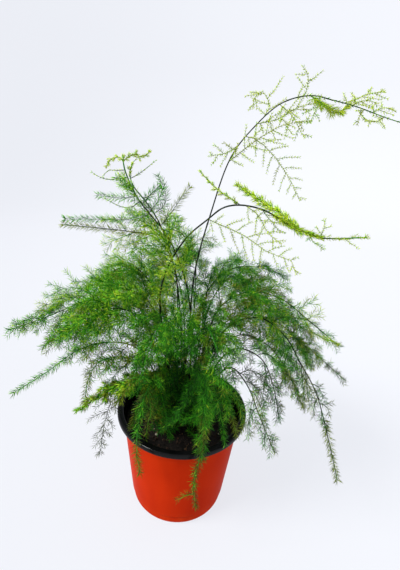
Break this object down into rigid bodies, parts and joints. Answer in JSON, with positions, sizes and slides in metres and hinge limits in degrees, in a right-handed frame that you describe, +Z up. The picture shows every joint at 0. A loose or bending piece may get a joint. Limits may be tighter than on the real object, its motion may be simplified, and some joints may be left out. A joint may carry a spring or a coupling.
{
  "type": "potted asparagus fern",
  "caption": "Houseplant in a round plastic nursery pot: feathery green stems set with fine needles arch out of dark soil, with paler young shoots standing above them.",
  "frame": {"origin": "middle of the pot's flat underside, on the surface that it stands on", "axes": "+Z up along the pot's axis, +X to the right and +Y away as the picture looks at it"},
  "size_m": [0.3147, 0.2121, 0.391],
  "materials": {
    "pot_plastic": "satin orange-red outside, glossy black on the lip and inside",
    "soil": "damp crumbly peat with a few pale grains",
    "bush_foliage": "fine matt green needles on slim green stems",
    "young_foliage": "short lime needles on nearly black bare stems"
  },
  "bodies": {
    "root": {"pot": "pot_plastic", "potting_soil": "soil", "tall_shoot": "young_foliage", "arching_shoot": "young_foliage", "left_shoot": "young_foliage", "twin_shoot": "bush_foliage", "high_left": "bush_foliage", "left_top": "bush_foliage", "left_long": "bush_foliage", "left_middle": "bush_foliage", "left_low": "bush_foliage", "left_hanging": "bush_foliage", "left_lowest": "bush_foliage", "right_top": "bush_foliage", "right_high": "bush_foliage", "right_behind": "bush_foliage", "right_long": "bush_foliage", "right_middle": "bush_foliage", "right_low": "bush_foliage", "right_side": "bush_foliage", "front_over_lip": "bush_foliage", "front_left": "bush_foliage", "front_right": "bush_foliage", "centre_left": "bush_foliage", "centre_right": "bush_foliage", "back_left": "bush_foliage", "back_middle": "bush_foliage", "back_right": "bush_foliage", "back_high": "bush_foliage"}
  },
  "joints": []
}
